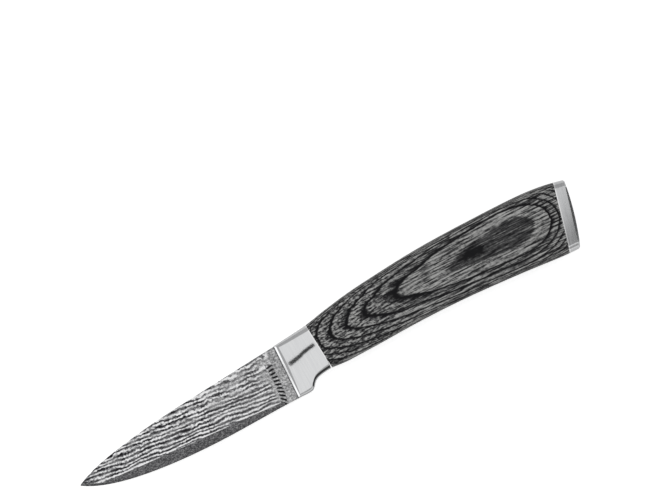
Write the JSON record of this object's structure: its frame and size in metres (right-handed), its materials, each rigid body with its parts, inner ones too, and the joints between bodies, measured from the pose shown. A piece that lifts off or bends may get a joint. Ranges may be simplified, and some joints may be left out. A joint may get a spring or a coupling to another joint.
{
  "type": "paring knife",
  "caption": "Paring knife: laminated wave-patterned blade with a plain cutting core, notched steel bolster, layered-wood grip and slanted steel end cap.",
  "frame": {"origin": "middle of the knife's length and height, on the surface it lies on: the knife lies on its right side", "axes": "+X from the tip to the butt, +Y from the cutting edge to the spine, +Z through the thickness to the left side"},
  "size_m": [0.2169, 0.0298, 0.0175],
  "materials": {
    "core_steel": "plain ground steel, dull satin",
    "patterned_steel": "etched folded steel, wavy light and dark lines",
    "bolster_steel": "polished to a soft satin",
    "cap_steel": "polished to a soft satin",
    "tang_steel": "as rolled, hidden in the grip",
    "dowel_steel": "turned, hidden in the grip",
    "layered_wood": "resin-bonded dyed veneers, charcoal and grey, satin"
  },
  "bodies": {
    "root": {"blade_core": "core_steel", "blade_cladding_left": "patterned_steel", "blade_cladding_right": "patterned_steel", "bolster": "bolster_steel", "tang_bar": "tang_steel", "scale_dowels": "dowel_steel", "handle_scale_left": "layered_wood", "handle_scale_right": "layered_wood", "end_cap": "cap_steel", "cap_studs": "dowel_steel"}
  },
  "joints": []
}
